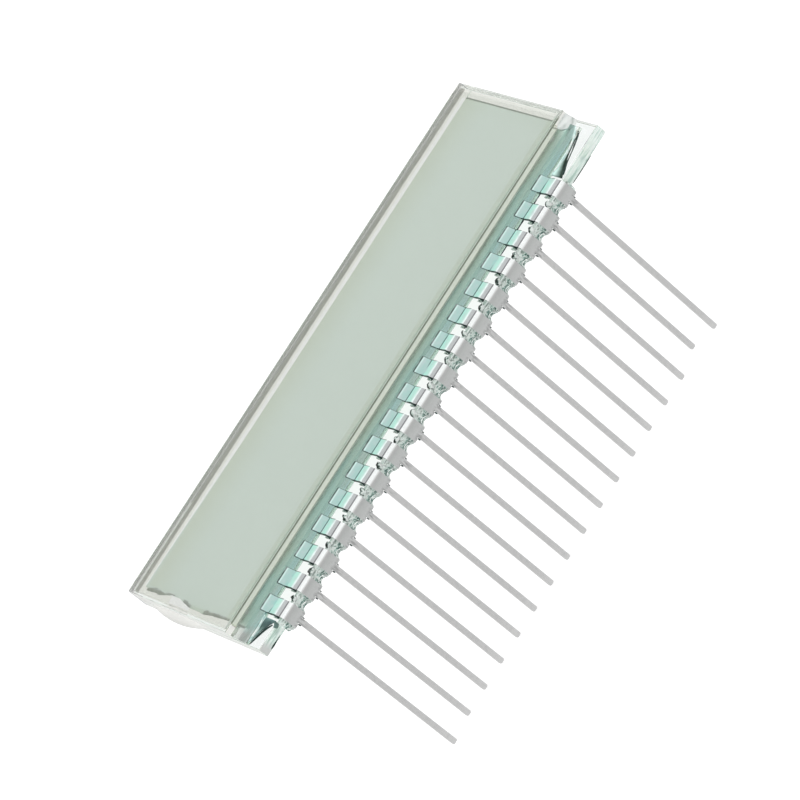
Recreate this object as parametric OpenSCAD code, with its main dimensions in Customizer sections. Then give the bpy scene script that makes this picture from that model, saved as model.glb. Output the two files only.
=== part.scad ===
// Pinned liquid-crystal display cell: two glass plates sealed round a thin layer of liquid
// crystal, polarizer films on both faces, a reflector foil behind, and a row of spring clips
// with long solder leads, bonded along the ledge of the rear plate.
//
// Frame: X runs along the lead row, Y from the leads towards the glass, Z up through the
// viewing face. Origin: centre of the lead row, at the level of the lead tips.

/* [Glass] */
// Length of both plates, along the lead row
glass_length = 50.8; // [20:0.1:80]
// Width of the front plate
front_width = 14.9; // [12:0.1:40]
// Width of the bare contact ledge along the rear plate
ledge_width = 3.6; // [3.4:0.1:6]
// Thickness of each plate
glass_thickness = 1.1; // [0.9:0.1:1.5]
// Arris taken off every glass edge
glass_arris = 0.06; // [0.02:0.01:0.12]
// Gap between the plates
cell_gap = 0.05; // [0.03:0.01:0.1]

/* [Polarizers and reflector] */
// Thickness of each polarizer film
film_thickness = 0.2; // [0.1:0.01:0.3]
// Thickness of the reflector foil
foil_thickness = 0.08; // [0.05:0.01:0.15]
// Front film, inset from both ends of the glass
front_film_end_inset = 0.25; // [0.1:0.05:1.5]
// Front film, inset from the ledge side
front_film_near_inset = 0.05; // [0.05:0.05:1.5]
// Front film, inset from the far long edge
front_film_far_inset = 0.35; // [0.1:0.05:1.5]
// Rear film and foil, inset from the right end
rear_film_right_inset = 0.75; // [0.1:0.05:1.5]
// Rear film and foil, inset from the left end
rear_film_left_inset = 1.4; // [0.1:0.05:1.5]
// Rear film and foil, inset from the line of the front plate's ledge side
rear_film_near_inset = 0.3; // [0.1:0.05:1.5]
// Rear film and foil, inset from the far long edge
rear_film_far_inset = 0.9; // [0.1:0.05:1.5]

/* [Seal] */
// Width of the perimeter seal
seal_width = 0.8; // [0.5:0.1:1.5]
// Seal, inset from the far edge and both ends
seal_inset = 0.3; // [0.1:0.05:1]
// Seal, inset from the ledge side, where the transfer dots lie
seal_near_inset = 0.7; // [0.6:0.05:1.5]
// Diameter of the transfer dots that carry the common electrode across
dot_diameter = 0.5; // [0.3:0.05:0.55]
// Distance of each transfer dot from its end of the glass
dot_end_distance = 2.4; // [1:0.1:6]
// Width of the fill port through the seal
port_width = 3.0; // [1.5:0.1:4]
// Depth to which the plug enters the fill port
plug_depth = 0.5; // [0.35:0.05:0.8]
// Offset of the fill port from the middle of the front plate, towards the far edge
port_offset = 0.7; // [-1:0.1:1]
// Length of the plug's bead along the left end face
plug_length = 8.5; // [4.5:0.1:10]
// Height of the plug's bead above the end face
plug_height = 0.64; // [0.4:0.02:0.9]

/* [Clips and leads] */
// Spacing of the leads: the glass carries as many as fit between its end distances
lead_pitch = 2.54; // [2.1:0.01:5.08]
// Distance of the first lead from the right end of the glass
first_lead_distance = 6.4; // [3:0.1:10]
// Least distance of the last lead from the left end of the glass
last_lead_distance = 2.2; // [2:0.1:10]
// Thickness of the strip that the clips are stamped from
stock = 0.25; // [0.15:0.01:0.3]
// Width of each clip
clip_width = 1.45; // [1.3:0.05:1.8]
// Width of each lead
lead_width = 0.5; // [0.3:0.05:0.6]
// Width of the slit on each side of a lead
slit_width = 0.12; // [0.08:0.01:0.2]
// Reach of the leads below the rear plate
lead_length = 19.3; // [5:0.05:30]
// Amount by which the second lead is cut short
short_lead_cut = 0.75; // [0.1:0.05:3]
// Amount by which the last lead is left long
long_lead_extra = 0.35; // [0.1:0.05:3]
// Chamfer on the two edges of a lead's tip
tip_chamfer = 0.1; // [0.05:0.01:0.12]
// Clearance between the web of a clip and the edge of the rear plate
web_clearance = 0.75; // [0.4:0.01:0.9]
// Inside radius of the bends at the top and foot of the web
bend_radius = 0.12; // [0.08:0.01:0.2]
// Inside radius of the shallow creases in the fingers
crease_radius = 0.3; // [0.1:0.05:0.5]
// Height of the upper finger's shoulder above the ledge, under the strip
shoulder_height = 0.23; // [0.1:0.01:0.3]
// Run of the flat shoulder
shoulder_run = 0.65; // [0.4:0.05:0.8]
// Slope of the upper finger down to its contact line
finger_slope = 11; // [6:1:14]
// Run of the upper finger past its contact line
finger_run = 1.05; // [0.6:0.05:1.2]
// Reach of the straight part of the prongs under the rear plate
prong_reach = 1.6; // [1.2:0.05:1.9]
// Run of the flared ends of the prongs
prong_flare_run = 0.45; // [0.2:0.05:0.6]
// Slope of the flared ends of the prongs
prong_slope = 12; // [6:1:20]

/* [Resin] */
// Reach of the upper bead over the ledge, from the front plate
bead_reach = 2.1; // [1.8:0.05:2.5]
// Height to which the upper bead climbs the front plate
bead_climb = 0.55; // [0.35:0.05:0.8]
// Height of the upper bead's rounded lip
bead_lip = 0.25; // [0.1:0.01:0.3]
// Distance of the upper bead from the right end of the glass
bead_end_distance = 0.7; // [0.2:0.05:2]
// Height of the thin flares at both ends of the upper bead
flare_height = 0.12; // [0.05:0.01:0.2]
// Gap left bare between a flare and the clip beside it
flare_gap = 0.35; // [0.1:0.05:0.8]
// Reach of the lower bead under the ledge, from the edge of the rear plate
under_bead_reach = 2.1; // [1.9:0.05:2.6]
// Depth of the lower bead
under_bead_depth = 0.3; // [0.26:0.01:0.5]
// Height to which the lower bead climbs the edge of the rear plate
edge_bead_climb = 0.75; // [0.5:0.05:0.8]
// Height by which the lower bead falls away between that edge and the webs
edge_bead_fall = 0.3; // [0.1:0.05:0.35]
// Length of the lower bead past the clips at each end of the row
under_bead_overhang = 0.4; // [0.2:0.05:0.8]
// Resin left on the plate's edge where the lower bead draws back between two clips
bead_skin = 0.1; // [0.05:0.01:0.15]

/* [Hidden] */
$fn = 48;
SHORT_PIN = 2;
ARC_STEPS = 5;
PLUG_STEPS = 6;
eps = 0.01;

pin_count = 1 + floor((glass_length - first_lead_distance - last_lead_distance) / lead_pitch);

function pin_name(number) = str("pin_", number);

// Along the row
row_half = (pin_count - 1) * lead_pitch / 2;
right_x = row_half + first_lead_distance;
left_x = right_x - glass_length;
outer_clip_x = row_half + clip_width / 2;

// From the leads towards the far edge
edge_y = stock / 2 + web_clearance;
front_y = edge_y + ledge_width;
far_y = front_y + front_width;
port_y = front_y + front_width / 2 + port_offset;

// Upwards from the lead tips
rear_z = lead_length;
ledge_z = rear_z + glass_thickness;
front_z = ledge_z + cell_gap;
face_z = front_z + glass_thickness;
joint_z = ledge_z + cell_gap / 2;

// A rectangle given by its two corners, with its corners cut off at 45 degrees
module cut_rectangle(low, high, cut) {
    polygon([
        [low.x + cut, low.y], [high.x - cut, low.y], [high.x, low.y + cut],
        [high.x, high.y - cut], [high.x - cut, high.y], [low.x + cut, high.y],
        [low.x, high.y - cut], [low.x, low.y + cut]]);
}

// A shape drawn with Y to the right and Z up, extruded along X between two places
module along_x(from_x, to_x) {
    translate([from_x, 0, 0]) rotate([90, 0, 90]) linear_extrude(to_x - from_x) children();
}

// A plate given by its two corners, with an arris on all twelve edges
module arrised_plate(low, high, arris) {
    intersection() {
        translate([0, 0, low.z]) linear_extrude(high.z - low.z)
            cut_rectangle([low.x, low.y], [high.x, high.y], arris);
        translate([0, high.y, 0]) rotate([90, 0, 0]) linear_extrude(high.y - low.y)
            cut_rectangle([low.x, low.z], [high.x, high.z], arris);
        along_x(low.x, high.x)
            cut_rectangle([low.y, low.z], [high.y, high.z], arris);
    }
}

// A flat sheet between two corners in plan
module sheet(low_x, high_x, low_y, high_y, low_z, thickness) {
    translate([low_x, low_y, low_z]) cube([high_x - low_x, high_y - low_y, thickness]);
}

module front_glass() {
    color([0.90, 0.96, 0.94, 0.45])
        arrised_plate([left_x, front_y, front_z], [right_x, far_y, face_z], glass_arris);
}

module rear_glass() {
    color([0.86, 0.95, 0.92, 0.45])
        arrised_plate([left_x, edge_y, rear_z], [right_x, far_y, ledge_z], glass_arris);
}

module front_polarizer() {
    color([0.80, 0.82, 0.78, 0.6])
        sheet(left_x + front_film_end_inset, right_x - front_film_end_inset,
              front_y + front_film_near_inset + glass_arris, far_y - front_film_far_inset,
              face_z, film_thickness);
}

module rear_sheet(top_z, thickness) {
    sheet(left_x + rear_film_left_inset, right_x - rear_film_right_inset,
          front_y + rear_film_near_inset, far_y - rear_film_far_inset,
          top_z - thickness, thickness);
}

module rear_polarizer() {
    color([0.66, 0.72, 0.68]) rear_sheet(rear_z, film_thickness);
}

module reflector() {
    color([0.75, 0.82, 0.78]) rear_sheet(rear_z - film_thickness, foil_thickness);
}

// The sealed outline, drawn in by a further inset
module seal_outline(inset) {
    low = [left_x + seal_inset + inset, front_y + seal_near_inset + inset];
    high = [right_x - seal_inset - inset, far_y - seal_inset - inset];
    translate(low) square(high - low);
}

// The fill port, from the left end face to a given distance inwards
module port_channel(depth) {
    translate([left_x, port_y - port_width / 2]) square([depth, port_width]);
}

module perimeter_seal() {
    color([0.85, 0.86, 0.80])
        translate([0, 0, ledge_z]) linear_extrude(cell_gap) difference() {
            seal_outline(0);
            seal_outline(seal_width);
            port_channel(seal_inset + 2 * seal_width);
        }
}

module transfer_dots() {
    dot_y = front_y + seal_near_inset / 2;
    color([0.70, 0.70, 0.72])
        for (x = [left_x + dot_end_distance, right_x - dot_end_distance])
            translate([x, dot_y, ledge_z]) cylinder(h = cell_gap, d = dot_diameter);
}

module liquid_crystal() {
    color([0.80, 0.88, 0.80])
        translate([0, 0, ledge_z]) linear_extrude(cell_gap) {
            seal_outline(seal_width);
            difference() {
                port_channel(seal_inset + seal_width + eps);
                port_channel(plug_depth);
            }
        }
}

// A bead of sealant along the joint of the plates, with a tongue that fills the port's mouth
module fill_port_plug() {
    half = plug_length / 2;
    bow = (half * half + plug_height * plug_height) / (2 * plug_height);
    color([0.80, 0.80, 0.76]) {
        intersection() {
            translate([left_x, port_y, joint_z]) rotate([90, 0, 0]) rotate_extrude($fn = 96)
                polygon([for (step = [-PLUG_STEPS:PLUG_STEPS])
                    let (along = half * step / PLUG_STEPS)
                    [max(0, sqrt(bow * bow - along * along) - bow + plug_height), along]]);
            sheet(left_x - plug_height, left_x, port_y - half, port_y + half,
                  joint_z - plug_height, 2 * plug_height);
        }
        translate([0, 0, ledge_z]) linear_extrude(cell_gap) port_channel(plug_depth);
    }
}

// Walks a strip bent from flat stock. Each step is [straight run, turn, inside radius], and
// the result is the middle line as [point, heading] pairs. Every run is longer than nothing.
function bent_line(steps, start, heading, index = 0) =
    index == len(steps) ? [] :
    let (
        run = steps[index][0],
        turn = steps[index][1],
        radius = sign(turn) * (steps[index][2] + stock / 2),
        knee = start + run * [cos(heading), sin(heading)],
        centre = knee + radius * [-sin(heading), cos(heading)],
        arc = turn == 0 ? [[knee, heading]] :
            [for (step = [0:ARC_STEPS])
                let (angle = heading + turn * step / ARC_STEPS)
                [centre + radius * [sin(angle), -cos(angle)], angle]],
        finish = arc[len(arc) - 1])
    concat(index == 0 ? [[start, heading]] : [], arc,
           bent_line(steps, finish[0], finish[1], index + 1));

// The outline of the strip: its middle line thickened to both sides
function strip_outline(line) =
    let (last = len(line) - 1)
    concat(
        [for (p = line) p[0] + stock / 2 * [-sin(p[1]), cos(p[1])]],
        [for (i = [last:-1:0]) line[i][0] - stock / 2 * [-sin(line[i][1]), cos(line[i][1])]]);

// Run of the sloping part of the upper finger that takes it down to the ledge
bend_line_radius = bend_radius + stock / 2;
crease_line_radius = crease_radius + stock / 2;
crease_drop = crease_line_radius * (1 - cos(finger_slope));
slope_run = (shoulder_height - 2 * crease_drop) / sin(finger_slope);
shoulder_z = ledge_z + shoulder_height + stock / 2;
web_top_z = shoulder_z - bend_line_radius;
split_z = rear_z - stock / 2 + bend_line_radius;

// Upper finger, walked upwards from the middle of the web: over the bend, along the
// shoulder, down to the contact line and up again to the lifted tip
finger_steps = [
    [web_top_z - joint_z, -90, bend_radius],
    [shoulder_run, -finger_slope, crease_radius],
    [slope_run, 2 * finger_slope, crease_radius],
    [finger_run, 0, 0]];

// Prongs, walked downwards from the middle of the web: round the foot and under the plate
prong_steps = [
    [joint_z - split_z, 90, bend_radius],
    [prong_reach, -prong_slope, crease_radius],
    [prong_flare_run, 0, 0]];

module finger_profile() {
    polygon(strip_outline(bent_line(finger_steps, [0, joint_z], 90)));
}

module prong_profile() {
    polygon(strip_outline(bent_line(prong_steps, [0, joint_z], -90)));
}

// The clip at the middle of the row: finger, web and the two prongs beside the lead
module clip() {
    half = clip_width / 2;
    lead_slot = lead_width / 2 + slit_width;
    along_x(-half, half) finger_profile();
    difference() {
        along_x(-half, half) prong_profile();
        translate([-lead_slot, -stock, 0]) cube([2 * lead_slot, front_y, split_z]);
    }
}

// A lead from the web down to its chamfered tip
module lead(tip_z) {
    half = lead_width / 2;
    translate([0, stock / 2, 0]) rotate([90, 0, 0]) linear_extrude(stock)
        polygon([
            [-half, split_z + eps], [half, split_z + eps], [half, tip_z + tip_chamfer],
            [half - tip_chamfer, tip_z], [tip_chamfer - half, tip_z],
            [-half, tip_z + tip_chamfer]]);
}

function pin_x(number) = row_half - (number - 1) * lead_pitch;

function tip_level(number) =
    number == SHORT_PIN ? short_lead_cut : number == pin_count ? -long_lead_extra : 0;

module pin(number) {
    color([0.78, 0.78, 0.80]) translate([pin_x(number), 0, 0]) {
        clip();
        lead(tip_level(number));
    }
}

// The clips' fingers and webs, as the resin has to flow round them
module all_clips() {
    for (number = [1:pin_count]) translate([pin_x(number), 0, 0]) clip();
}

// Section of the upper bead: it sweeps down from the front plate to a rounded lip
module bead_section() {
    sweep_reach = bead_reach - bead_lip;
    polygon(concat(
        [[front_y, ledge_z], [front_y - bead_reach, ledge_z]],
        [for (angle = [15:15:90])
            [front_y - sweep_reach - bead_lip * cos(angle), ledge_z + bead_lip * sin(angle)]],
        [for (part = [0.2:0.2:1])
            [front_y - sweep_reach * (1 - part),
             ledge_z + bead_lip + (bead_climb - bead_lip) * part * part]]));
}

// Plan of a flare: a curved apron from the bead's lip out to the edge of the ledge
module flare_plan(clip_x, end_x) {
    inner_y = front_y - bead_reach + bead_lip;
    outer_y = edge_y + glass_arris;
    polygon(concat(
        [[end_x, inner_y], [clip_x, inner_y]],
        [for (part = [0:0.125:1])
            [clip_x + (end_x - clip_x) * part,
             outer_y + (front_y - bead_reach - outer_y) * (1 - pow(1 - part, 2))]]));
}

module upper_resin_bead() {
    clip_side = outer_clip_x + flare_gap;
    bead_right_x = right_x - bead_end_distance;
    color([0.45, 0.72, 0.66, 0.8]) difference() {
        union() {
            along_x(left_x + glass_arris, bead_right_x) bead_section();
            translate([0, 0, ledge_z]) linear_extrude(flare_height) {
                flare_plan(clip_side, bead_right_x);
                flare_plan(-clip_side, left_x + glass_arris);
            }
        }
        all_clips();
    }
}

// Section of the lower bead: down the edge of the rear plate to the webs, and under the plate
module under_bead_section() {
    web_y = stock / 2;
    polygon(concat(
        [[edge_y + glass_arris, rear_z], [edge_y, rear_z + glass_arris]],
        [for (part = [0:0.5:1])
            [edge_y + (web_y - edge_y) * part,
             rear_z + edge_bead_climb - edge_bead_fall * (1 - pow(1 - part, 2))]],
        [for (angle = [0:30:90])
            [web_y + under_bead_depth * (1 - cos(angle)), rear_z - under_bead_depth * sin(angle)]],
        [for (angle = [0:30:90])
            [edge_y + under_bead_reach - under_bead_depth * (1 - sin(angle)),
             rear_z - under_bead_depth * cos(angle)]]));
}

// Plan of the hollow between two clips, where the resin draws back from the webs' line
module draw_back_plan() {
    half_width = (lead_pitch - clip_width) / 2 - bead_skin;
    depth = web_clearance - bead_skin;
    polygon(concat(
        [[-half_width, -stock], [half_width, -stock]],
        [for (angle = [0:22.5:180]) [half_width * cos(angle), depth * sin(angle)]]));
}

module lower_resin_bead() {
    end_x = outer_clip_x + under_bead_overhang;
    color([0.50, 0.76, 0.70, 0.8]) difference() {
        along_x(-end_x, end_x) under_bead_section();
        all_clips();
        for (number = [0:pin_count])
            translate([pin_x(number) - lead_pitch / 2, stock / 2, rear_z - 2 * under_bead_depth])
                linear_extrude(2 * under_bead_depth + glass_thickness) draw_back_plan();
    }
}

front_glass();
rear_glass();
front_polarizer();
rear_polarizer();
reflector();
perimeter_seal();
transfer_dots();
liquid_crystal();
fill_port_plug();
upper_resin_bead();
lower_resin_bead();
for (number = [1:pin_count])
    pin(number);
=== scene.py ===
"""Studio scene for a pinned liquid-crystal display cell standing on its leads.

Places come from the frame's boxes, in metres: X along the lead row, Y towards the far edge, Z up.
Materials are painted by those places and by noise, and their colours are linear.
"""

import math

import bmesh
import bpy
from mathutils import Matrix, Vector, noise as field


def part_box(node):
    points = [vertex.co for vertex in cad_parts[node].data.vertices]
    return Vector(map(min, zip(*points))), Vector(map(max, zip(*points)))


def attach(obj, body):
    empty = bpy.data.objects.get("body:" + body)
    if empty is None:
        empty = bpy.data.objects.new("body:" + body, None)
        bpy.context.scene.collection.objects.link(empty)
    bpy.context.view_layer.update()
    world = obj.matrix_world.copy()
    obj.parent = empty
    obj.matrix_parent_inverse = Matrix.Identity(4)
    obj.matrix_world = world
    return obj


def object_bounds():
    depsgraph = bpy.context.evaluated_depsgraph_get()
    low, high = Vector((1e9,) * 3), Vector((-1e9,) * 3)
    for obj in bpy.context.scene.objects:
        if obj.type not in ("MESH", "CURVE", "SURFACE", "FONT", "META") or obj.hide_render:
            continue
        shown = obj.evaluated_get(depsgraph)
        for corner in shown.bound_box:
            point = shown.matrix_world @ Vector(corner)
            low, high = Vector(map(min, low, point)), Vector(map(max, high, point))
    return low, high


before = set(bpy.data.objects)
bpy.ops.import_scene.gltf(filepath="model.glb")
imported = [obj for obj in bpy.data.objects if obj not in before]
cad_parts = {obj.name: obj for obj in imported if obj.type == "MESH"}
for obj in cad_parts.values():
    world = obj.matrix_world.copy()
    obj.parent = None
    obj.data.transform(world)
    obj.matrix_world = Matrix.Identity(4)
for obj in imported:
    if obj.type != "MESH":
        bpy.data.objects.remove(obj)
cad_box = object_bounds()

MM = 0.001
BODY = "root"
WHITE = (1.0, 1.0, 1.0)
X, Y, Z = 0, 1, 2

# ---- places read from the frame -------------------------------------------------------------
PLATE_LOW, PLATE_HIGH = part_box("front_glass")
LEDGE_LOW, LEDGE_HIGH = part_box("rear_glass")
FILM_LOW, FILM_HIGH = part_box("front_polarizer")
REAR_FILM_LOW, REAR_FILM_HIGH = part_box("rear_polarizer")
SEAL_LOW, SEAL_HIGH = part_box("perimeter_seal")
BEAD_LOW, BEAD_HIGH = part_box("upper_resin_bead")
UNDER_LOW, UNDER_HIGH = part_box("lower_resin_bead")
PINS = [name for name in sorted(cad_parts) if name.startswith("pin_")]
PIN_BOXES = [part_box(name) for name in PINS]
PIN_CENTRES = [(low.x + high.x) / 2 for low, high in PIN_BOXES]

LEFT_X, RIGHT_X = PLATE_LOW.x, PLATE_HIGH.x
FRONT_Y, FAR_Y = PLATE_LOW.y, PLATE_HIGH.y
LEDGE_Z = LEDGE_HIGH.z
BEAD_LIP_Y = FRONT_Y - 2.1 * MM
ROW_MIDDLE_X = (UNDER_LOW.x + UNDER_HIGH.x) / 2
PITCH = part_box("pin_1")[0].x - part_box("pin_2")[0].x
CLIP_HALF = (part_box("pin_1")[1].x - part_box("pin_1")[0].x) / 2
# from the middle of the row to the outer side of its end clips
ROW_HALF = (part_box("pin_1")[1].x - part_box("pin_17")[0].x) / 2

# ---- camera ---------------------------------------------------------------------------------
CAMERA_AZIMUTH = -11.912
CAMERA_ELEVATION = 34.508
CAMERA_ROLL = -50.333
CAMERA_LENS = 257.90
CAMERA_AIM = Vector((0.783, 10.226, 15.488)) * MM
CAMERA_DISTANCE = 468.806 * MM


def make_camera():
    azimuth, elevation, roll = (
        math.radians(a) for a in (CAMERA_AZIMUTH, CAMERA_ELEVATION, CAMERA_ROLL))
    back = Vector((math.sin(azimuth) * math.cos(elevation),
                   -math.cos(azimuth) * math.cos(elevation), math.sin(elevation)))
    level = Vector((math.cos(azimuth), math.sin(azimuth), 0.0))
    upright = back.cross(level)
    right = math.cos(roll) * level + math.sin(roll) * upright
    up = -math.sin(roll) * level + math.cos(roll) * upright
    data = bpy.data.cameras.new("camera")
    data.lens = CAMERA_LENS
    data.sensor_width = 36.0
    data.clip_start, data.clip_end = 0.01, 20.0
    camera = bpy.data.objects.new("camera", data)
    turn = Matrix((right, up, back)).transposed().to_4x4()
    camera.matrix_world = Matrix.Translation(CAMERA_AIM + back * CAMERA_DISTANCE) @ turn
    bpy.context.scene.collection.objects.link(camera)
    bpy.context.scene.camera = camera


# ---- helpers for node trees -----------------------------------------------------------------
# A value or a colour that they take is a plain number or tuple, or the output of a node.
def new_material(name):
    material = bpy.data.materials.new(name)
    material.use_nodes = True
    material.node_tree.nodes.clear()
    return material, material.node_tree


def connect(tree, socket, value):
    """Links an output to the socket, or sets the socket to a plain value."""
    if isinstance(value, bpy.types.NodeSocket):
        tree.links.new(value, socket)
    else:
        socket.default_value = value


def rgba(colour):
    return (*colour, 1.0) if isinstance(colour, tuple) else colour


def add(tree, kind, sockets=None, **properties):
    """A new node with the given properties, and a value or an output for each named socket."""
    node = tree.nodes.new("ShaderNode" + kind)
    for name, value in properties.items():
        setattr(node, name, value)
    for name, value in (sockets or {}).items():
        connect(tree, node.inputs[name], value)
    return node


def math_node(tree, operation, *values, clamp=False):
    sockets = dict(enumerate(values))
    return add(tree, "Math", sockets, operation=operation, use_clamp=clamp).outputs[0]


def minus(tree, first, second):
    return math_node(tree, "SUBTRACT", first, second)


def scaled(tree, value, factor, offset):
    """The value times a factor, plus an offset."""
    return math_node(tree, "MULTIPLY_ADD", value, factor, offset)


def above(tree, value, level):
    return math_node(tree, "GREATER_THAN", value, level)


def below(tree, value, level):
    return math_node(tree, "LESS_THAN", value, level)


def product(tree, *values):
    """Weights multiplied together: of masks, where all of them hold."""
    total = values[0]
    for value in values[1:]:
        total = math_node(tree, "MULTIPLY", total, value)
    return total


def any_of(tree, *masks):
    total = masks[0]
    for mask in masks[1:]:
        total = math_node(tree, "MAXIMUM", total, mask)
    return total


def within(tree, value, low, high):
    return product(tree, above(tree, value, low), below(tree, value, high))


def box_mask(tree, axes, low, high):
    return product(tree, *[within(tree, axes[a], low[a], high[a]) for a in (X, Y, Z)])


def share(tree, value, start, end):
    """How far a value is from start to end, from 0 to 1."""
    return add(tree, "MapRange", {"Value": value, "From Min": start, "From Max": end}).outputs[0]


def place(tree):
    """X, Y and Z of the shaded point, in the part's own frame."""
    return add(tree, "SeparateXYZ", {0: add(tree, "TexCoord").outputs["Object"]}).outputs


def normal(tree):
    """X, Y and Z of the surface's direction."""
    return add(tree, "SeparateXYZ", {0: add(tree, "NewGeometry").outputs["Normal"]}).outputs


def noise(tree, cell, detail=2.0, stretch=(1.0, 1.0, 1.0)):
    """Fractal noise over the part's own coordinates, with a cell size in millimetres."""
    coordinates = add(tree, "TexCoord").outputs["Object"]
    mapping = add(tree, "Mapping", {"Vector": coordinates,
                                    "Scale": tuple(1.0 / (cell * MM * s) for s in stretch)})
    return add(tree, "TexNoise", {"Vector": mapping.outputs[0], "Scale": 1.0,
                                  "Detail": detail}).outputs["Fac"]


def ramp(tree, factor, stops):
    """A ramp through (position, colour) or (position, level) stops."""
    node = add(tree, "ValToRGB", {"Fac": factor})
    elements = node.color_ramp.elements
    while len(elements) < len(stops):
        elements.new(0.5)
    for element, (position, colour) in zip(elements, stops):
        element.position = position
        element.color = rgba(colour if isinstance(colour, tuple) else (colour,) * 3)
    return node.outputs["Color"]


def mix_colour(tree, factor, first, second):
    node = add(tree, "Mix", data_type="RGBA")
    sockets = {"Factor_Float": factor, "A_Color": rgba(first), "B_Color": rgba(second)}
    for socket in node.inputs:
        if socket.identifier in sockets:
            connect(tree, socket, sockets[socket.identifier])
    return next(o for o in node.outputs if o.identifier == "Result_Color")


def mix_shader(tree, factor, first, second):
    return add(tree, "MixShader", {0: factor, 1: first, 2: second}).outputs[0]


def diffuse(tree, colour):
    return add(tree, "BsdfDiffuse", {"Color": rgba(colour)}).outputs[0]


def painted(tree, mask, surface, colour):
    """The surface under a coat of dull paint, as thick as the mask says."""
    return mix_shader(tree, mask, surface, diffuse(tree, colour))


def emission(tree, strength):
    return add(tree, "Emission", {"Strength": strength}).outputs[0]


def transparent(tree, colour=WHITE):
    return add(tree, "BsdfTransparent", {"Color": rgba(colour)}).outputs[0]


def principled(tree, colour, roughness, ior=1.5, clear=0.0, metallic=0.0):
    """Plastic, resin, foil or metal, of which a share is clear."""
    return add(tree, "BsdfPrincipled", {
        "Base Color": rgba(colour), "Roughness": roughness, "IOR": ior,
        "Transmission Weight": clear, "Metallic": metallic}).outputs[0]


def lamp_rays(tree):
    """1 for the rays that carry lamp light to a diffuse surface, which pass straight on."""
    path = add(tree, "LightPath")
    return any_of(tree, path.outputs["Is Shadow Ray"], path.outputs["Is Diffuse Ray"])


def other_rays(tree):
    return minus(tree, 1.0, lamp_rays(tree))


def lets_lamps_through(tree, surface):
    return mix_shader(tree, lamp_rays(tree), surface, transparent(tree))


def finished(material, tree, surface):
    add(tree, "OutputMaterial", {"Surface": surface})
    return material


# ---- studio ---------------------------------------------------------------------------------
# brightness of the backdrop, the gap above it and the overhead panel, by the height they stand at
SKY_BANDS = [(0.30, 0.95), (0.45, 0.58), (0.64, 0.58), (0.76, 1.0)]
SKY_LIGHT = (0.8, 0.8, 0.8)

# what metal mirrors of the table in front of the leads and behind them
FRONT_FLOOR_LEVEL = 0.58
REAR_FLOOR_LEVEL = 0.72
FLOOR_CHANGE_Y = 4 * MM
PAPER_GLOW = 0.7
SHADED_PAPER = (0.45, 0.45, 0.45)
BOUNCE_PAPER = (0.85, 0.85, 0.85)
FLOOR_HALF_SIDE = 2.0


def make_world():
    world = bpy.data.worlds.new("studio")
    bpy.context.scene.world = world
    world.use_nodes = True
    tree = world.node_tree
    tree.nodes.clear()
    direction = add(tree, "TexCoord").outputs["Generated"]
    height = add(tree, "SeparateXYZ", {0: direction}).outputs["Z"]
    even, domed, seen = (
        add(tree, "Background", {"Color": rgba(colour)}).outputs[0]
        for colour in (SKY_LIGHT, ramp(tree, height, SKY_BANDS), WHITE))
    path = add(tree, "LightPath")
    mirrored = any_of(tree, path.outputs["Is Glossy Ray"], path.outputs["Is Transmission Ray"])
    light = mix_shader(tree, mirrored, even, domed)
    shown = mix_shader(tree, path.outputs["Is Camera Ray"], light, seen)
    add(tree, "OutputWorld", {"Surface": shown})


def paper_material():
    """White paper as the camera and the glass see it, a duller table as the metal mirrors it."""
    material, tree = new_material("paper_floor")
    shade = add(tree, "MapRange", {
        "Value": place(tree)["Y"], "From Min": -FLOOR_CHANGE_Y, "From Max": FLOOR_CHANGE_Y,
        "To Min": FRONT_FLOOR_LEVEL, "To Max": REAR_FLOOR_LEVEL}).outputs[0]
    lit = add(tree, "AddShader", {0: emission(tree, PAPER_GLOW),
                                  1: diffuse(tree, SHADED_PAPER)}).outputs[0]
    path = add(tree, "LightPath")
    surface = mix_shader(tree, path.outputs["Is Glossy Ray"], diffuse(tree, BOUNCE_PAPER),
                         emission(tree, shade))
    surface = mix_shader(tree, path.outputs["Is Transmission Ray"], surface, emission(tree, 1.0))
    return finished(material, tree,
                    mix_shader(tree, path.outputs["Is Camera Ray"], surface, lit))


def make_floor():
    mesh = bpy.data.meshes.new("floor")
    side = FLOOR_HALF_SIDE
    mesh.from_pydata([(-side, -side, 0), (side, -side, 0), (side, side, 0), (-side, side, 0)],
                     [], [(0, 1, 2, 3)])
    floor = bpy.data.objects.new("floor", mesh)
    floor.location.z = cad_box[0].z
    mesh.materials.append(paper_material())
    bpy.context.scene.collection.objects.link(floor)


def make_lamp(name, place_mm, size_mm, power):
    data = bpy.data.lights.new(name, "AREA")
    data.shape = "SQUARE"
    data.size = size_mm * MM
    data.energy = power
    lamp = bpy.data.objects.new(name, data)
    lamp.location = Vector(place_mm) * MM
    lamp.rotation_euler = (CAMERA_AIM - lamp.location).to_track_quat("-Z", "Y").to_euler()
    bpy.context.scene.collection.objects.link(lamp)


# ---- glass plates ---------------------------------------------------------------------------
SKIN = 0.02 * MM            # half the thickness of the box that stands for a face
GLASS_IOR = 1.52

# the far side, mottled: painted shade, and painted light where a ray from deep in the glass meets
# it
FAR_EDGE_SHADE = (0.40, 0.40, 0.395)
FAR_EDGE_PALE = (0.62, 0.625, 0.61)
INNER_GLOW = (0.90, 0.91, 0.89)
INNER_GLOW_DEPTH = 2.5      # a ray that has crossed more faces than this lies deep in the glass
FROST_DARK = (0.84, 0.85, 0.82)
FROST_PALE = (0.96, 0.96, 0.94)
# painted shade on the frosted ends at the far corner
FAR_CORNER_SHADE = (0.42, 0.43, 0.47)
FAR_CORNER = 0.35 * MM
FAR_ARRIS = 0.09 * MM
FROST_WEIGHT = 0.75

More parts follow.
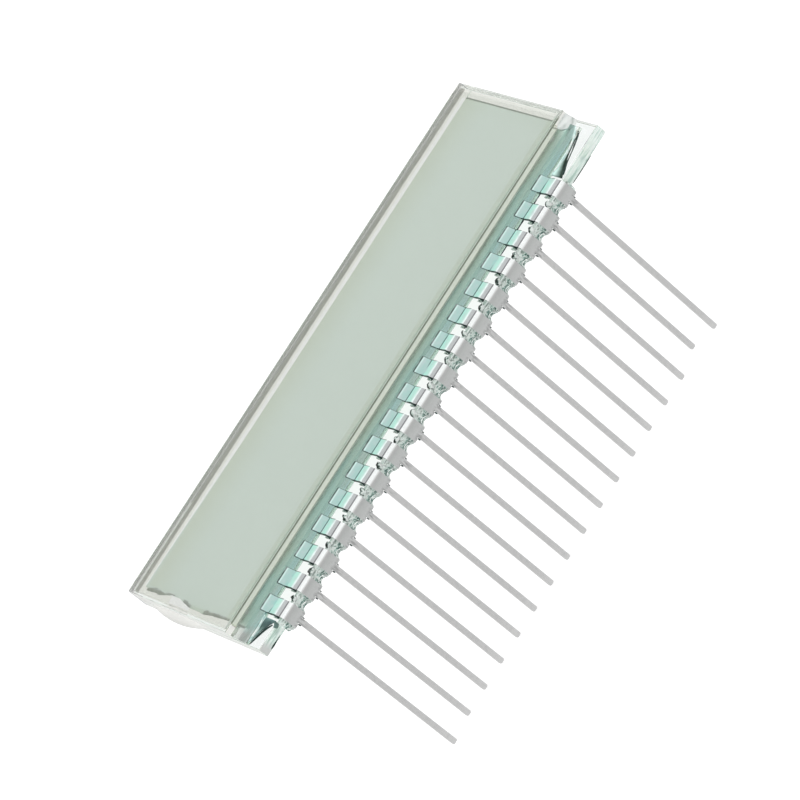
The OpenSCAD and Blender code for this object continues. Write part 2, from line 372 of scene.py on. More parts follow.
# the front plate's ledge side: its rough arris, frosted ends and the line along the resin's top
CUT_BAND = 0.115 * MM
CUT_DEPTH = 0.09 * MM
CUT_START = LEFT_X + 0.9 * MM
CUT_DARK = (0.17, 0.195, 0.155)
CUT_GREY = tuple(1.5 * c for c in CUT_DARK)
CUT_WEIGHT_LOST = 0.5       # past the window's right end
NEAR_FACE_TINT = (0.91, 0.875, 0.825)
LEFT_FROST_END = LEFT_X + 0.8 * MM
RIGHT_FROST_START = RIGHT_X - 1.35 * MM
FOOT_LINE = (0.20, 0.24, 0.20)
FOOT_LINE_START = LEFT_X + 1.0 * MM
FOOT_LINE_HEIGHT = 0.07 * MM

REAR_FILM_COLOUR = (0.606, 0.688, 0.638)
SMEAR_DARK_PATCH = (0.31, 0.33, 0.31)
# how far the smear reaches past the rear film's left end, from the near corner to the far one
SMEAR_REACH = [(0.0, 0.25), (0.18, 0.50), (0.38, 1.0), (0.52, 0.95), (0.60, 0.55), (0.66, 0.12),
               (0.73, 0.15), (0.84, 0.75), (1.0, 1.0)]
SMEAR_WIDEST = 0.50 * MM
SMEAR_WAVER = 0.25 * MM
SMEAR_START_X = REAR_FILM_LOW.x + 0.08 * MM
SMEAR_END_X = REAR_FILM_LOW.x + 0.6 * MM
# along the film's far side, it grows towards the left
FAR_SMEAR_WIDEST = 0.35 * MM
FAR_SMEAR_GROWS = LEFT_X + 16 * MM, LEFT_X + 4 * MM
# where dark patches lie along the left end's smear, how far in they reach and how softly they end
DARK_PATCH_SPANS = [(0.0, 0.37), (0.515, 0.61), (0.71, 1.0)]
DARK_PATCH_WIDTH = 0.76 * MM
DARK_PATCH_WIDTH_GAIN = 0.10 * MM
DARK_PATCH_FADE = 0.15 * MM

# painted light that the plate leads out through its ledge side, streaked
LEDGE_EDGE_LIGHT = [(0.36, (0.38, 0.54, 0.48)), (0.46, (0.68, 0.86, 0.80)), (0.58, (0.92, 1.0, 0.97))]
LEDGE_EDGE_LIGHT_WEIGHT = 0.6
LEDGE_END_GREY = (0.56, 0.575, 0.56)
LEDGE_END_FADE = LEDGE_LOW.x + 1.2 * MM, LEDGE_LOW.x + 0.4 * MM

# right of here, epoxy wets the seam between the plates out to the far edge
SEAM_LOW = (LEFT_X + 9 * MM, SEAL_HIGH.y - 0.1 * MM, 0)
WETTED_HIGH = (SEAL_HIGH.x, FAR_Y + SKIN, 0)
SEALED_LOW = (SEAL_LOW.x, FRONT_Y - SKIN, 0)


def slab(low, high, axis, level):
    """The thin box round a face that lies across an axis at a level."""
    low, high = list(low), list(high)
    low[axis], high[axis] = level - SKIN, level + SKIN
    return low, high


def clear_glass(tree, tint):
    """Clear glass that lets lamp light straight through to what lies behind it."""
    glass = add(tree, "BsdfGlass", {"Color": rgba(tint), "Roughness": 0.0, "IOR": GLASS_IOR})
    return lets_lamps_through(tree, glass.outputs[0])


def bonded(tree, axes, surface, bonds):
    """The same surface, but rays pass unbent where it is glued to glass of the same index."""
    mask = any_of(tree, *[box_mask(tree, axes, low, high) for low, high in bonds])
    return mix_shader(tree, mask, surface, transparent(tree))


def scribed_edges(tree, axes, surface):
    """The scribed and broken edges: the far side dull, with painted shade and painted light, both
    ends frosted and pale.
    """
    dull = mix_colour(tree, noise(tree, 0.5, 3.0, (4.0, 1.0, 0.4)), FAR_EDGE_SHADE, FAR_EDGE_PALE)
    depth = add(tree, "LightPath").outputs["Ray Depth"]
    dull = mix_colour(tree, above(tree, depth, INNER_GLOW_DEPTH), dull, INNER_GLOW)
    frost_and_painted_light = mix_colour(tree, noise(tree, 1.5, 2.0, (1.0, 4.0, 1.0)), FROST_DARK, FROST_PALE)
    frost_and_painted_light = mix_colour(tree, above(tree, axes[Y], FAR_Y - FAR_CORNER), frost_and_painted_light, FAR_CORNER_SHADE)
    ends = any_of(tree, above(tree, axes[X], RIGHT_X - SKIN), below(tree, axes[X], LEFT_X + SKIN))
    far = above(tree, axes[Y], FAR_Y - FAR_ARRIS)
    seen = other_rays(tree)
    surface = painted(tree, product(tree, ends, seen, FROST_WEIGHT), surface, frost_and_painted_light)
    return painted(tree, product(tree, far, seen), surface, dull)


def near_edge_paint(tree, axes, surface):
    """The front plate's ledge side: a beige face under a rough scribed arris, pale at its ends."""
    seen = other_rays(tree)
    near = below(tree, axes[Y], FRONT_Y + SKIN)
    surface = mix_shader(tree, near, surface, clear_glass(tree, NEAR_FACE_TINT))
    foot = product(tree, near, seen, above(tree, axes[X], FOOT_LINE_START),
                   within(tree, axes[Z], BEAD_HIGH.z - SKIN, BEAD_HIGH.z + FOOT_LINE_HEIGHT))
    surface = painted(tree, foot, surface, FOOT_LINE)
    ends = any_of(tree, above(tree, axes[X], RIGHT_FROST_START),
                  below(tree, axes[X], LEFT_FROST_END))
    surface = painted(tree, product(tree, ends, near, seen, FROST_WEIGHT), surface, FROST_PALE)
    past = share(tree, axes[X], REAR_FILM_HIGH.x - 0.1 * MM, REAR_FILM_HIGH.x + 0.1 * MM)
    rough = product(tree, below(tree, axes[Y], FRONT_Y + CUT_DEPTH),
                    above(tree, axes[Z], PLATE_HIGH.z - CUT_BAND),
                    above(tree, axes[X], CUT_START), seen,
                    scaled(tree, past, -CUT_WEIGHT_LOST, 1.0))
    grain = noise(tree, 0.25, 2.0, (3.0, 1.0, 1.0))
    return painted(tree, rough, surface, mix_colour(tree, grain, CUT_DARK, CUT_GREY))


def smear_paint(tree, axes, surface):
    """Adhesive pressed out past the rear film's left end and far side, with dark patches at the
    end.
    """
    along = share(tree, axes[Y], REAR_FILM_LOW.y, REAR_FILM_HIGH.y)
    waver = product(tree, noise(tree, 0.9), SMEAR_WAVER)
    edge = scaled(tree, ramp(tree, along, SMEAR_REACH), -SMEAR_WIDEST, SMEAR_START_X)
    edge = minus(tree, edge, waver)
    end_smear = product(tree, above(tree, axes[X], edge), below(tree, axes[X], SMEAR_END_X),
                        within(tree, axes[Y], REAR_FILM_LOW.y, REAR_FILM_HIGH.y))
    grown = share(tree, axes[X], *FAR_SMEAR_GROWS)
    far_edge = scaled(tree, grown, FAR_SMEAR_WIDEST, REAR_FILM_HIGH.y)
    far_smear = product(tree, above(tree, axes[Y], REAR_FILM_HIGH.y - 0.1 * MM),
                        below(tree, axes[Y], far_edge),
                        above(tree, axes[X], REAR_FILM_LOW.x - 0.3 * MM))
    smear = product(tree, any_of(tree, end_smear, far_smear),
                    below(tree, axes[Z], LEDGE_LOW.z + SKIN), other_rays(tree))
    widest = scaled(tree, along, DARK_PATCH_WIDTH_GAIN, DARK_PATCH_WIDTH)
    thick = scaled(tree, noise(tree, 0.7), widest, -0.04 * MM)
    depth = minus(tree, axes[X], edge)
    fade = math_node(tree, "DIVIDE", minus(tree, thick, depth), DARK_PATCH_FADE, clamp=True)
    patch_mottle = math_node(tree, "MULTIPLY_ADD", noise(tree, 0.25), 1.0, 0.35, clamp=True)
    patches = any_of(tree, *[within(tree, along, low, high) for low, high in DARK_PATCH_SPANS])
    dark_patch = product(tree, patches, fade, patch_mottle)
    return painted(tree, smear, surface, mix_colour(tree, dark_patch, REAR_FILM_COLOUR, SMEAR_DARK_PATCH))


def ledge_edge_paint(tree, axes, surface):
    """The rear plate's ledge side, streaked with painted light, and grey at its left end."""
    near = product(tree, below(tree, axes[Y], LEDGE_LOW.y + SKIN), other_rays(tree))
    frost_and_painted_light = ramp(tree, noise(tree, 0.35, 2.0, (5.0, 1.0, 0.45)), LEDGE_EDGE_LIGHT)
    surface = painted(tree, product(tree, near, LEDGE_EDGE_LIGHT_WEIGHT), surface, frost_and_painted_light)
    end = share(tree, axes[X], *LEDGE_END_FADE)
    surface = painted(tree, product(tree, near, end), surface, LEDGE_END_GREY)
    return smear_paint(tree, axes, surface)


def glass_material(name, tint, bonds, paint):
    """Plate glass: clear, passing rays unbent where it is bonded, with its edges and marks."""
    material, tree = new_material(name)
    axes = place(tree)
    surface = paint(tree, axes, clear_glass(tree, tint))
    surface = bonded(tree, axes, surface, bonds)
    return finished(material, tree, scribed_edges(tree, axes, surface))


def front_glass_material():
    bonds = [
        slab(SEALED_LOW, SEAL_HIGH, Z, PLATE_LOW.z),
        slab(SEAM_LOW, WETTED_HIGH, Z, PLATE_LOW.z),
        slab(FILM_LOW, FILM_HIGH, Z, PLATE_HIGH.z),
        slab((BEAD_LOW.x, 0, PLATE_LOW.z - SKIN), (BEAD_HIGH.x, 0, BEAD_HIGH.z), Y, FRONT_Y),
    ]
    return glass_material("front_plate_glass", (0.995, 1.0, 0.995), bonds, near_edge_paint)


def rear_glass_material():
    bonds = [
        slab(SEALED_LOW, SEAL_HIGH, Z, LEDGE_Z),
        slab(SEAM_LOW, WETTED_HIGH, Z, LEDGE_Z),
        slab(REAR_FILM_LOW, REAR_FILM_HIGH, Z, LEDGE_LOW.z),
        slab((BEAD_LOW.x, BEAD_LIP_Y, 0), (BEAD_HIGH.x, FRONT_Y + SKIN, 0), Z, LEDGE_Z),
        slab(UNDER_LOW, UNDER_HIGH, Z, LEDGE_LOW.z),
    ]
    return glass_material("rear_plate_glass", (0.985, 1.0, 0.995), bonds, ledge_edge_paint)


# ---- films, foil and seal -------------------------------------------------------------------
FRONT_FILM_TINT = (0.80, 0.81, 0.785)
FRONT_FILM_END_TINT = (0.90, 0.90, 0.885)
CUT_PALE = (0.53, 0.61, 0.53)
CUT_AT_ENDS = (0.62, 0.63, 0.60)
CUT_END_WEIGHT = 0.6
REAR_FILM_FAR_COLOUR = (0.575, 0.64, 0.56)
REAR_FILM_END_COLOUR = tuple(0.5 * c for c in REAR_FILM_COLOUR)


def front_film_material():
    """Grey-green film, paler past the window's right end, with a dark cut on the ledge side."""
    material, tree = new_material("front_film")
    axes = place(tree)
    right_end = share(tree, axes[X], REAR_FILM_HIGH.x - 0.1 * MM, REAR_FILM_HIGH.x + 0.05 * MM)
    left_end = share(tree, axes[X], LEFT_X + 1.0 * MM, LEFT_X + 0.8 * MM)
    tint = mix_colour(tree, right_end, FRONT_FILM_TINT, FRONT_FILM_END_TINT)
    film = add(tree, "BsdfGlass", {"Color": tint, "Roughness": 0.0, "IOR": GLASS_IOR})
    # the cut is painted darker towards its foot as shade
    shade = share(tree, axes[Z], FILM_LOW.z + 0.05 * MM, FILM_LOW.z + 0.12 * MM)
    cut = mix_colour(tree, shade, CUT_DARK, CUT_PALE)
    # the cut is paler at both ends
    paler_ends = product(tree, any_of(tree, right_end, left_end), CUT_END_WEIGHT)
    cut = mix_colour(tree, paler_ends, cut, CUT_AT_ENDS)
    near = below(tree, axes[Y], FILM_LOW.y + SKIN)
    surface = lets_lamps_through(tree, painted(tree, near, film.outputs[0], cut))
    low, high = slab(FILM_LOW, FILM_HIGH, Z, FILM_LOW.z)
    bond = [c - SKIN for c in low], [c + SKIN for c in high]
    return finished(material, tree, bonded(tree, axes, surface, [bond]))


def rear_film_material():
    """Grey-green film over the reflector, yellower along its far side, dark at its right end."""
    material, tree = new_material("rear_film")
    axes = place(tree)
    far = share(tree, axes[Y], REAR_FILM_HIGH.y - 3.5 * MM, REAR_FILM_HIGH.y)
    right_end = above(tree, axes[X], REAR_FILM_HIGH.x - 0.14 * MM)
    colour = mix_colour(tree, far, REAR_FILM_COLOUR, REAR_FILM_FAR_COLOUR)
    colour = mix_colour(tree, right_end, colour, REAR_FILM_END_COLOUR)
    return finished(material, tree, principled(tree, colour, roughness=0.6))


def plain_material(name, colour, roughness, clear=0.0):
    material, tree = new_material(name)
    return finished(material, tree, principled(tree, colour, roughness, clear=clear))


def clear_material(name, tint):
    material, tree = new_material(name)
    return finished(material, tree, transparent(tree, tint))


# ---- resin ----------------------------------------------------------------------------------
# The ramps of the upper bead run from its lowest Y to the front plate.
LIP = (BEAD_LIP_Y - BEAD_LOW.y) / (FRONT_Y - BEAD_LOW.y)
# teal, with a painted highlight at the lip and bands of painted light and shade across the bead
BEAD_TEAL_AND_LIGHT = [
    (LIP - 0.01, (0.95, 1.0, 0.98)), (LIP + 0.01, (0.62, 0.94, 0.88)),
    (LIP + 0.04, (0.22, 0.36, 0.34)), (LIP + 0.06, (0.13, 0.26, 0.23)),
    (0.51, (0.09, 0.22, 0.19)), (0.62, (0.09, 0.22, 0.19)), (0.65, (0.15, 0.35, 0.30)),
    (0.70, (0.33, 0.66, 0.57)), (0.737, (0.33, 0.63, 0.56)), (0.773, (0.25, 0.47, 0.42)),
    (0.81, (0.22, 0.385, 0.33)), (0.90, (0.17, 0.275, 0.225)), (0.97, (0.065, 0.095, 0.07))]
BEAD_LEFT_FADE = BEAD_LOW.x + 1.6 * MM, BEAD_LOW.x + 0.6 * MM
BEAD_LEFT_GREY = [(0.45, (0.30, 0.36, 0.33)), (0.55, (0.12, 0.15, 0.13)),
                  (0.72, (0.14, 0.16, 0.145)), (0.82, (0.50, 0.54, 0.50))]
BEAD_OLIVE = (0.19, 0.22, 0.15)
BEAD_COOL = (0.10, 0.30, 0.30)
PATCH_WEIGHT = 0.35
# where the bead's lip starts to bend away from the leads at its right end, and how fast
BEND_START = RIGHT_X - 2.5 * MM
BEND_RATE = 0.19 / MM

# the left flare from its clip outwards, and the right one from its outer edge to the bead
LEFT_FLARE_SPAN = 1.1 * MM, 2.6 * MM
LEFT_FLARE_MOTTLE = 1.6 * MM
# both flares are resin painted near black as shade, the right one under a painted mint highlight
LEFT_FLARE_SHADE = [(0.0, (0.20, 0.32, 0.31)), (0.12, (0.12, 0.20, 0.19)),
              (0.30, (0.075, 0.12, 0.118)), (0.62, (0.08, 0.13, 0.12)), (1.0, (0.26, 0.38, 0.35))]
RIGHT_FLARE_LIGHT_AND_SHADE = [(0.0, (0.03, 0.05, 0.04)), (0.10, (0.11, 0.16, 0.14)), (0.25, (0.19, 0.28, 0.25)),
               (0.42, (0.32, 0.45, 0.41)), (0.58, (0.50, 0.70, 0.65)), (0.78, (0.70, 0.93, 0.87)),
               (0.95, (0.50, 0.74, 0.69))]
RIGHT_FLARE_MOTTLE = 0.3
RIGHT_FLARE_FOOT_SHADE = (0.008, 0.02, 0.017)

# the lower bead from the plate's underside upwards, in bands of painted light and shade
LOWER_LIGHT_STREAKS = [
    (0.20, (0.78, 0.86, 0.82)), (0.32, (0.14, 0.23, 0.20)), (0.42, (0.015, 0.055, 0.045)),
    (0.52, (0.28, 0.46, 0.40)), (0.62, (0.70, 0.82, 0.77)), (0.84, (0.86, 0.91, 0.88)),
    (0.93, (0.72, 0.78, 0.74)), (1.0, (0.30, 0.36, 0.33))]
STREAKED_HEIGHT = 1.3 * MM
STREAK_LEAN = 0.7
STREAK_STRENGTH = 1.5
UNDERSIDE_TINT = (0.96, 0.99, 0.97)

# the resin lines and drops are painted near black, teal in the left drip, as shade
LINE_BLACK = (0.002, 0.010, 0.008)
LINE_DARK = (0.03, 0.07, 0.06)
DRIP_TEAL = (0.13, 0.21, 0.19)
LEFT_DRIP = Vector((-21.68, 0.84, LEDGE_Z / MM - 0.06)) * MM
# white painted light and black painted shade on the droplets, by the way their surface faces
DROPLET_LIGHT_AND_SHADE = [(0.05, (0.012, 0.022, 0.018)), (0.36, (0.03, 0.05, 0.04)), (0.46, (0.34, 0.44, 0.40)),
           (0.58, (0.70, 0.80, 0.75)), (0.80, (0.93, 0.98, 0.95))]
DROPLET_LIGHT_FACING = (0.38, -0.80, -0.46)
# cell size and strength of the noise, from one droplet to the next and over each of them
DROPLET_NOISES = [(2.0, 0.9), (0.16, 1.1)]
RIM_HIGHLIGHT = [(0.36, (0.45, 0.70, 0.66)), (0.50, (0.80, 0.95, 0.92)), (0.62, (0.92, 0.98, 0.96))]
CHIP = [(0.36, (0.56, 0.61, 0.58)), (0.46, (0.76, 0.80, 0.78)), (0.62, (0.90, 0.93, 0.91))]


def swollen(low, high, axis, level):
    """The slab of a face, with a millimetre to spare on every side."""
    spread = Vector((MM, MM, MM))
    return slab(low - spread, high + spread, axis, level)


def right_flare_colour(tree, axes, beside):
    """The right flare: a painted mint highlight along the bead, painted shade near black at the
    clip and its outer edge.
    """
    along = share(tree, axes[X], ROW_MIDDLE_X + ROW_HALF, BEAD_HIGH.x)
    left_over = minus(tree, 1.0, along)
    width = product(tree, left_over, left_over, BEAD_LIP_Y - BEAD_LOW.y)
    inside = minus(tree, axes[Y], minus(tree, BEAD_LIP_Y, width))
    across = math_node(tree, "DIVIDE", inside, width, clamp=True)
    across = scaled(tree, noise(tree, 0.4), RIGHT_FLARE_MOTTLE, across)
    rim = ramp(tree, minus(tree, across, RIGHT_FLARE_MOTTLE / 2), RIGHT_FLARE_LIGHT_AND_SHADE)
    near_clip = share(tree, beside, 0.50 * MM, 0.20 * MM)
    return mix_colour(tree, near_clip, rim, RIGHT_FLARE_FOOT_SHADE)


def upper_bead_material():
    """The bead on the ledge: teal with painted light and shade, darker where it climbs the plate,
    shaded near black at its flares.
    """
    material, tree = new_material("clip_resin")
    axes = place(tree)
    past = math_node(tree, "MAXIMUM", minus(tree, axes[X], BEND_START), 0.0)
    depth = minus(tree, axes[Y], product(tree, past, past, BEND_RATE))
    reach = share(tree, depth, BEAD_LOW.y, FRONT_Y)
    behind_lip = above(tree, depth, BEAD_LIP_Y + 0.1 * MM)
    body = ramp(tree, reach, BEAD_TEAL_AND_LIGHT)
    olive = share(tree, noise(tree, 2.5, 2.0, (2.0, 0.6, 1.0)), 0.35, 0.65)
    colour = mix_colour(tree, product(tree, olive, PATCH_WEIGHT), body, BEAD_OLIVE)
    cool = share(tree, noise(tree, 1.9, 2.0, (2.4, 0.5, 1.0)), 0.45, 0.70)
    colour = mix_colour(tree, product(tree, cool, PATCH_WEIGHT), colour, BEAD_COOL)
    colour = mix_colour(tree, behind_lip, body, colour)
    left_end = share(tree, axes[X], *BEAD_LEFT_FADE)
    colour = mix_colour(tree, product(tree, left_end, behind_lip), colour,
                        ramp(tree, reach, BEAD_LEFT_GREY))
    resin = lets_lamps_through(tree, principled(tree, colour, roughness=0.03, clear=1.0))

    from_middle = math_node(tree, "ABSOLUTE", minus(tree, axes[X], ROW_MIDDLE_X))
    beside = minus(tree, from_middle, ROW_HALF)
    tone = scaled(tree, noise(tree, 0.5), LEFT_FLARE_MOTTLE, beside)
    left_flare = ramp(tree, share(tree, tone, *LEFT_FLARE_SPAN), LEFT_FLARE_SHADE)
    flare = mix_colour(tree, above(tree, axes[X], ROW_MIDDLE_X), left_flare,
                       right_flare_colour(tree, axes, beside))
    in_flare = product(tree, below(tree, axes[Y], BEAD_LIP_Y - SKIN), other_rays(tree))
    resin = painted(tree, in_flare, resin, flare)
    bonds = [swollen(BEAD_LOW, BEAD_HIGH, Z, BEAD_LOW.z),
             swollen(BEAD_LOW, BEAD_HIGH, Y, BEAD_HIGH.y)]
    return finished(material, tree, bonded(tree, axes, resin, bonds))


def lower_bead_material():
    """The bead under the ledge: clear below the plate, streaked with painted light and shade
    between the webs.
    """
    material, tree = new_material("clip_resin_below")
    axes = place(tree)
    streaks = noise(tree, 0.22, 2.0, (1.5, 0.8, 0.8))
    height = scaled(tree, axes[Y], STREAK_LEAN, axes[Z])
    level = share(tree, height, LEDGE_LOW.z, LEDGE_LOW.z + STREAKED_HEIGHT)
    level = scaled(tree, minus(tree, streaks, 0.5), STREAK_STRENGTH, level)
    streaked_light = principled(tree, ramp(tree, level, LOWER_LIGHT_STREAKS), roughness=0.12, clear=0.3)
    under = above(tree, axes[Y], LEDGE_LOW.y + 0.08 * MM)
    surface = mix_shader(tree, under, streaked_light, transparent(tree, UNDERSIDE_TINT))
    surface = lets_lamps_through(tree, surface)
    bonds = [swollen(UNDER_LOW, UNDER_HIGH, Z, LEDGE_LOW.z),
             swollen(UNDER_LOW, UNDER_HIGH, Y, LEDGE_LOW.y)]
    return finished(material, tree, bonded(tree, axes, surface, bonds))


def shaded_resin_material():
    """Thick clear resin, painted near black as shade where it bends the light away."""
    material, tree = new_material("resin_line")
    tone = mix_colour(tree, noise(tree, 0.3), LINE_BLACK, LINE_DARK)
    axes = place(tree)
    drip = product(tree, below(tree, axes[X], LEFT_DRIP.x + 0.3 * MM),
                   within(tree, axes[Y], 0.6 * MM, 0.95 * MM),
                   above(tree, axes[Z], LEDGE_Z - 0.4 * MM))
    tone = mix_colour(tree, drip, tone, DRIP_TEAL)
    return finished(material, tree, principled(tree, tone, roughness=0.25, ior=1.3))


def droplet_material():
    """A small lens of resin: white painted light inside, a black crescent of painted shade on its
    upper left.
    """
    material, tree = new_material("resin_droplet")
    facing = 0.0
    for axis in (X, Y, Z):
        facing = scaled(tree, normal(tree)[axis], DROPLET_LIGHT_FACING[axis], facing)
    for cell, strength in DROPLET_NOISES:
        facing = scaled(tree, minus(tree, noise(tree, cell, 1.0), 0.5), strength, facing)
    colour = ramp(tree, facing, DROPLET_LIGHT_AND_SHADE)
    return finished(material, tree, principled(tree, colour, roughness=0.15, ior=1.4))


def rim_material():
    """The resin's rounded rim, painted as a bright mint highlight where it gathers light."""
    material, tree = new_material("resin_rim")
    colour = ramp(tree, noise(tree, 0.5), RIM_HIGHLIGHT)
    return finished(material, tree, principled(tree, colour, roughness=0.1, clear=0.2))


def chip_material():
    """A splinter of plate glass bedded in resin: pale facets, one of them streaked dark."""
    material, tree = new_material("glass_chip")
    colour = ramp(tree, noise(tree, 0.5, 2.0, (3.0, 1.0, 0.5)), CHIP)
    return finished(material, tree,
                    principled(tree, colour, roughness=0.1, ior=GLASS_IOR, clear=0.25))


# ---- clips and leads ------------------------------------------------------------------------
FINGER_REACH = 3.5 * MM
# above this, or above the ledge and in front of this, a clip is finger and not web
SHOULDER_Z = LEDGE_Z + 0.30 * MM
SHOULDER_Y = 1.0 * MM
# colour of the upper fingers by their distance in front of the leads, in millimetres, and how
# much of it is bare metal: shoulder, crest with a painted highlight, slope with a painted
# reflection of the bead, crease of painted shade, wet tip with a painted highlight and painted
# shade at its end
FINGER_COAT_AND_LIGHT = [
    (0.27, (0.905, 0.93, 0.925), 1.0), (0.30, (0.36, 0.37, 0.38), 1.0),
    (0.40, (0.36, 0.37, 0.38), 1.0), (0.45, (0.81, 0.84, 0.845), 1.0),
    (0.86, (0.83, 0.87, 0.88), 1.0), (0.96, (0.88, 0.98, 0.96), 0.1),
    (1.15, (0.76, 0.92, 0.88), 0.0), (1.35, (0.48, 0.79, 0.69), 0.0),
    (2.00, (0.40, 0.77, 0.67), 0.0), (2.12, (0.31, 0.56, 0.51), 0.0),
    (2.22, (0.31, 0.55, 0.51), 0.0), (2.35, (0.335, 0.53, 0.495), 0.0),
    (2.93, (0.37, 0.55, 0.52), 0.0), (3.01, (0.58, 0.78, 0.73), 0.0),
    (3.08, (0.60, 0.80, 0.75), 0.0), (3.16, (0.02, 0.04, 0.035), 0.0)]
# colour of the webs, from their foot to the top of the ledge: painted light and shade, darker
# towards the top
WEB_SHADE_BANDS = [
    (0.0, (0.94, 0.94, 0.935)), (0.25, (0.90, 0.92, 0.91)), (0.50, (0.87, 0.89, 0.88)),
    (0.72, (0.84, 0.865, 0.85)), (0.86, (0.80, 0.825, 0.81)), (0.94, (0.775, 0.79, 0.78)),
    (1.0, (0.79, 0.80, 0.79))]
WEB_BLOTCH = (0.62, 0.63, 0.64)
WEB_BLOTCH_WEIGHT = 0.16
WEB_RIDGE_SHADE = (0.42, 0.43, 0.43)
WEB_RIDGE_SHADE_WEIGHT = 0.55
FINGER_BLOTCH = (0.50, 0.55, 0.56)
WET_BLOTCH_WEIGHT = 0.45
BARE_BLOTCH_WEIGHT = 0.12
# painted shade on the fingers' sides and along their crease
FINGER_SIDE_SHADE = (0.11, 0.16, 0.145)
CREASE_Y = 2.16 * MM
CREASE_SHADE = (0.012, 0.03, 0.025)
CREASE_WEIGHT = 0.9


def web_colour(tree, axes, blotch):
    """Dull tin with faint blotches, painted darker towards the top, and ridges round the root of
    the lead painted as shade.
    """
    height = share(tree, axes[Z], LEDGE_LOW.z - 0.4 * MM, LEDGE_Z + 0.1 * MM)
    colour = ramp(tree, height, WEB_SHADE_BANDS)
    spots = product(tree, share(tree, blotch, 0.45, 0.75), WEB_BLOTCH_WEIGHT)
    colour = mix_colour(tree, spots, colour, WEB_BLOTCH)
    ridges = product(tree, share(tree, noise(tree, 0.17, 1.0, (1.0, 1.0, 4.0)), 0.42, 0.60),
                     share(tree, axes[Z], LEDGE_LOW.z + 0.35 * MM, LEDGE_LOW.z),
                     share(tree, axes[Z], LEDGE_LOW.z - 1.2 * MM, LEDGE_LOW.z - 0.4 * MM),
                     WEB_RIDGE_SHADE_WEIGHT)
    return mix_colour(tree, ridges, colour, WEB_RIDGE_SHADE)


def finger_colour(tree, axes, blotch, reach, bare):
    """Bare tin on the shoulder, then resin's coat with painted highlights and reflection, a broken
    crease and sides painted dark as shade.
    """
    colour = ramp(tree, reach, [(y * MM / FINGER_REACH, c) for y, c, metal in FINGER_COAT_AND_LIGHT])
    weight = scaled(tree, bare, BARE_BLOTCH_WEIGHT - WET_BLOTCH_WEIGHT, WET_BLOTCH_WEIGHT)
    spots = product(tree, share(tree, blotch, 0.42, 0.70), weight)
    colour = mix_colour(tree, spots, colour, FINGER_BLOTCH)
    crease = product(tree, within(tree, axes[Y], CREASE_Y - 0.06 * MM, CREASE_Y + 0.05 * MM),
                     share(tree, noise(tree, 3.1, 1.0), 0.36, 0.46), CREASE_WEIGHT)
    colour = mix_colour(tree, crease, colour, CREASE_SHADE)
    return mix_colour(tree, below(tree, normal(tree)[X], -0.5), colour, FINGER_SIDE_SHADE)


def tin_material():
    """Dull tin, with the resin's thin coat and painted light and shade on the upper fingers."""
    material, tree = new_material("tinned_strip")
    axes = place(tree)
    blotch = noise(tree, 0.45, 3.0)
    reach = share(tree, axes[Y], 0.0, FINGER_REACH)
    bare = ramp(tree, reach, [(y * MM / FINGER_REACH, metal) for y, c, metal in FINGER_COAT_AND_LIGHT])
    on_finger = any_of(tree, above(tree, axes[Z], SHOULDER_Z),
                       product(tree, above(tree, axes[Z], LEDGE_Z),
                               above(tree, axes[Y], SHOULDER_Y)))
    colour = mix_colour(tree, on_finger, web_colour(tree, axes, blotch),
                        finger_colour(tree, axes, blotch, reach, bare))
    metal = mix_colour(tree, on_finger, WHITE, bare)
    return finished(material, tree, principled(tree, colour, roughness=0.22, metallic=metal))


# ---- small resin and glass pieces -----------------------------------------------------------
ROUND = 8                   # sides of a strand
FINGER_STEPS = 14
EDGE_STEPS = 8
ROUTE_STEPS = 5
LINE_END_Y = 3.27 * MM
SIDE_LINE_RADIUS = 0.055 * MM
STRIP = 0.25 * MM
CREST_Z = LEDGE_Z + 0.46 * MM

# X, Y and radius in millimetres of each line's points
# dark edges of the resin beyond the end clips, painted as shade
RIGHT_DARK_EDGE = [(25.75, 2.62, 0.03), (25.35, 2.36, 0.09), (24.9, 2.16, 0.05),
                   (24.45, 2.02, 0.08), (23.9, 1.85, 0.04), (23.3, 1.70, 0.045),
                   (22.8, 1.58, 0.075), (22.2, 1.32, 0.10), (21.75, 1.10, 0.08)]
LEFT_DARK_EDGE = [(-21.8, 1.12, 0.05), (-22.3, 1.56, 0.09), (-23.0, 1.95, 0.10),
                  (-23.5, 2.16, 0.07), (-23.95, 2.34, 0.03)]
# dark lines along the foot of the ledge side, painted as shade
RIGHT_FOOT = [(24.4, 0.89, 0.02), (23.6, 0.88, 0.045), (22.4, 0.88, 0.045), (21.7, 0.88, 0.02)]
LEFT_FOOT = [(-22.1, 0.88, 0.02), (-22.7, 0.87, 0.05), (-23.1, 0.86, 0.09), (-23.4, 0.88, 0.03)]
# bright rims along the resin, painted as highlights
RIGHT_RIM = [(26.0, 3.05, 0.03), (25.6, 2.72, 0.08), (24.7, 2.36, 0.09), (23.6, 2.12, 0.10),
             (22.6, 2.08, 0.09), (21.7, 2.30, 0.03)]
LEFT_RIM = [(-20.9, 2.62, 0.04), (-21.6, 2.50, 0.10), (-22.4, 2.38, 0.11),
            (-23.2, 2.42, 0.10), (-23.9, 2.5, 0.03)]


